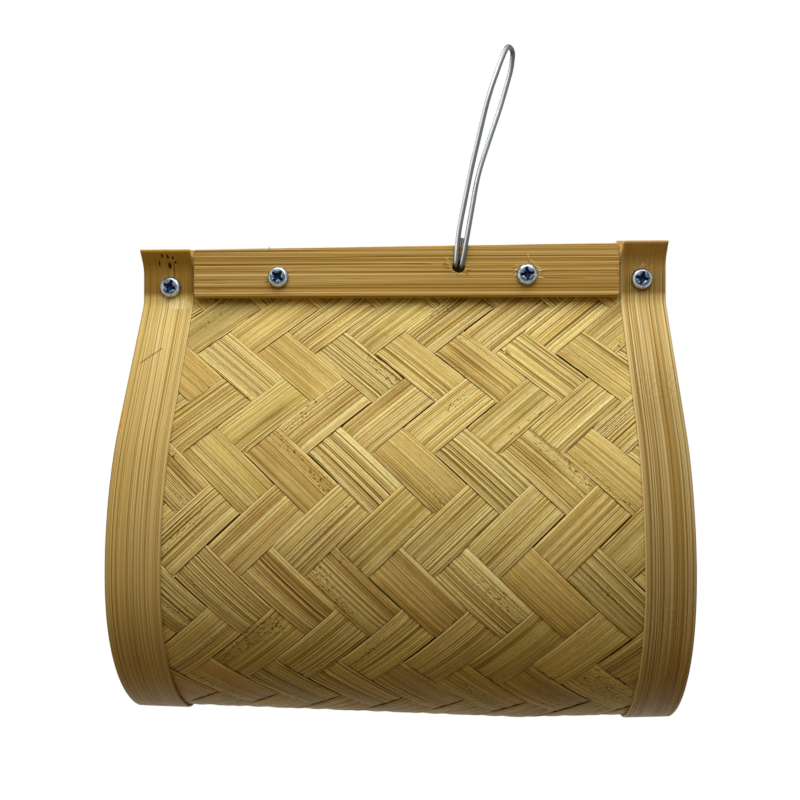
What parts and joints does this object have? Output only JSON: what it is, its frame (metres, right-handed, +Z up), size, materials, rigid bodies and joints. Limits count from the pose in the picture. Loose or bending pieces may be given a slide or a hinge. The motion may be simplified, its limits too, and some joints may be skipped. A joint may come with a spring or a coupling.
{
  "type": "hanging insect house",
  "caption": "Drop-shaped tunnel of woven bamboo, open at both ends, clamped at the top between two screwed bamboo slats and hung from a wire loop.",
  "frame": {"origin": "inner top of the wire hanger's loop, where the hook carries it", "axes": "+X along the tunnel to the right seen from the front, +Y to the back, +Z up"},
  "size_m": [0.2, 0.0982, 0.2551],
  "materials": {
    "woven_bamboo": "split and woven, lengthwise fibres",
    "band_bamboo": "split, outer skin left on",
    "slat_bamboo": "planed, satin",
    "zinc_steel": "zinc plated",
    "hanger_wire": "drawn, satin"
  },
  "bodies": {
    "house": {"woven_mat": "woven_bamboo", "left_outer_band": "band_bamboo", "right_outer_band": "band_bamboo", "left_inner_band": "band_bamboo", "right_inner_band": "band_bamboo", "front_slat": "slat_bamboo", "back_slat": "slat_bamboo", "left_slat_screw": "zinc_steel", "right_slat_screw": "zinc_steel", "left_band_screw": "zinc_steel", "right_band_screw": "zinc_steel", "left_slat_nut": "zinc_steel", "right_slat_nut": "zinc_steel", "left_band_nut": "zinc_steel", "right_band_nut": "zinc_steel"},
    "hanger": {"wire_hanger": "hanger_wire"}
  },
  "joints": [
    {"name": "hanger_swing", "type": "hinge", "parent": "house", "child": "hanger", "pos_m": [-0.01926, 0.0067, -0.08115], "axis": [0, 1, 0], "range_deg": [-26.7, 0]}
  ]
}
